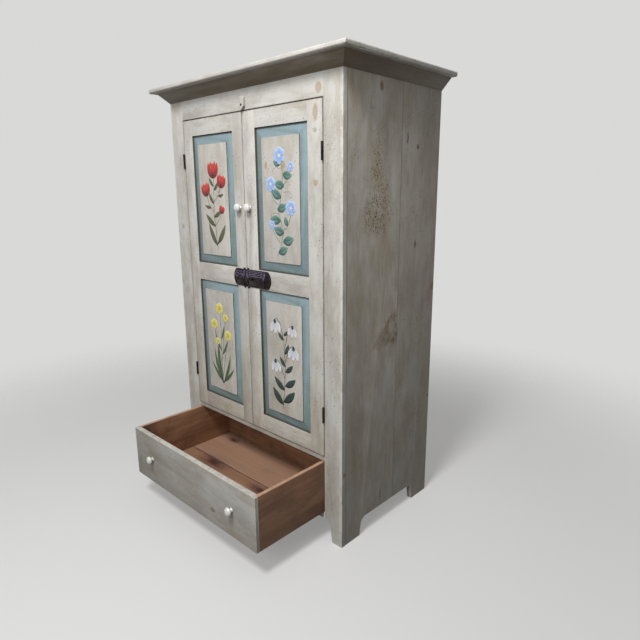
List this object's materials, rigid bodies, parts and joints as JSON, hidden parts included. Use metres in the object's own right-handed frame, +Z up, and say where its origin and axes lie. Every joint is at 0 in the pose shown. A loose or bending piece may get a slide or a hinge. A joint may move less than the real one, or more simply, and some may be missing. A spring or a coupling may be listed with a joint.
{
  "type": "linen press",
  "caption": "Painted pine linen press on bracket feet: a splayed cornice, panelled double doors with iron latch and hinges, shelves, and a long drawer.",
  "frame": {"origin": "on the floor, in the middle of the press's whole width and of its whole depth as it stands with its drawer drawn out", "axes": "+Z up from the floor, +X to the right for a person facing the doors, -Y out of the face, where the drawer comes out"},
  "size_m": [1.186, 0.994, 1.857],
  "materials": {
    "cream_paint": "matt, worn",
    "panel_paint": "matt, worn",
    "bare_pine": "raw",
    "old_pine": "raw",
    "hinge_iron": "dull",
    "latch_iron": "satin",
    "porcelain": "gloss"
  },
  "bodies": {
    "carcass": {"left_side_front_board": "cream_paint", "left_side_back_board": "cream_paint", "right_side_front_board": "cream_paint", "right_side_back_board": "cream_paint", "left_stile": "cream_paint", "right_stile": "cream_paint", "frieze_rail": "cream_paint", "drawer_rail": "cream_paint", "apron_rail": "cream_paint", "top_board": "cream_paint", "front_cornice": "cream_paint", "left_cornice": "cream_paint", "right_cornice": "cream_paint", "cupboard_floor": "old_pine", "lower_shelf": "old_pine", "middle_shelf": "old_pine", "upper_shelf": "old_pine", "shelf_cleats": "old_pine", "back_left_board": "old_pine", "back_middle_board": "old_pine", "back_right_board": "old_pine", "left_drawer_runner": "old_pine", "right_drawer_runner": "old_pine", "drawer_stops": "old_pine", "frame_hinge_leaves": "hinge_iron", "hinge_pins": "hinge_iron", "frame_screws": "hinge_iron"},
    "left_door": {"left_door_hinge_stile": "cream_paint", "left_door_meeting_stile": "cream_paint", "left_door_top_rail": "cream_paint", "left_door_middle_rail": "cream_paint", "left_door_bottom_rail": "cream_paint", "left_door_upper_panel": "panel_paint", "left_door_lower_panel": "panel_paint", "left_door_knob": "porcelain", "left_door_hinge_leaves": "hinge_iron", "left_door_screws": "hinge_iron", "latch_keeper": "latch_iron"},
    "right_door": {"right_door_hinge_stile": "cream_paint", "right_door_meeting_stile": "cream_paint", "right_door_top_rail": "cream_paint", "right_door_middle_rail": "cream_paint", "right_door_bottom_rail": "cream_paint", "right_door_upper_panel": "panel_paint", "right_door_lower_panel": "panel_paint", "right_door_knob": "porcelain", "right_door_hinge_leaves": "hinge_iron", "right_door_screws": "hinge_iron", "latch_case": "latch_iron"},
    "drawer": {"drawer_front": "cream_paint", "drawer_left_side": "bare_pine", "drawer_right_side": "bare_pine", "drawer_back": "bare_pine", "drawer_bottom_front_board": "bare_pine", "drawer_bottom_back_board": "bare_pine", "drawer_left_knob": "porcelain", "drawer_right_knob": "porcelain", "drawer_knob_screws": "hinge_iron"},
    "bolt": {"latch_bolt": "latch_iron"},
    "button": {"turn_button": "cream_paint"}
  },
  "joints": [
    {"name": "left_door_swing", "type": "hinge", "parent": "carcass", "child": "left_door", "pos_m": [-0.43225, -0.116, 0.55], "axis": [0, 0, -1], "range_deg": [0, 170]},
    {"name": "right_door_swing", "type": "hinge", "parent": "carcass", "child": "right_door", "pos_m": [0.43225, -0.116, 0.55], "axis": [0, 0, 1], "range_deg": [0, 170]},
    {"name": "drawer_slide", "type": "slide", "parent": "carcass", "child": "drawer", "axis": [0, -1, 0], "range_m": [-0.358, 0.1]},
    {"name": "turn_button_turn", "type": "hinge", "parent": "carcass", "child": "button", "pos_m": [0.003, -0.111, 1.734], "axis": [0, 1, 0], "continuous": true},
    {"name": "latch_bolt_slide", "type": "slide", "parent": "right_door", "child": "bolt", "axis": [-1, 0, 0], "range_m": [0, 0.014]}
  ]
}
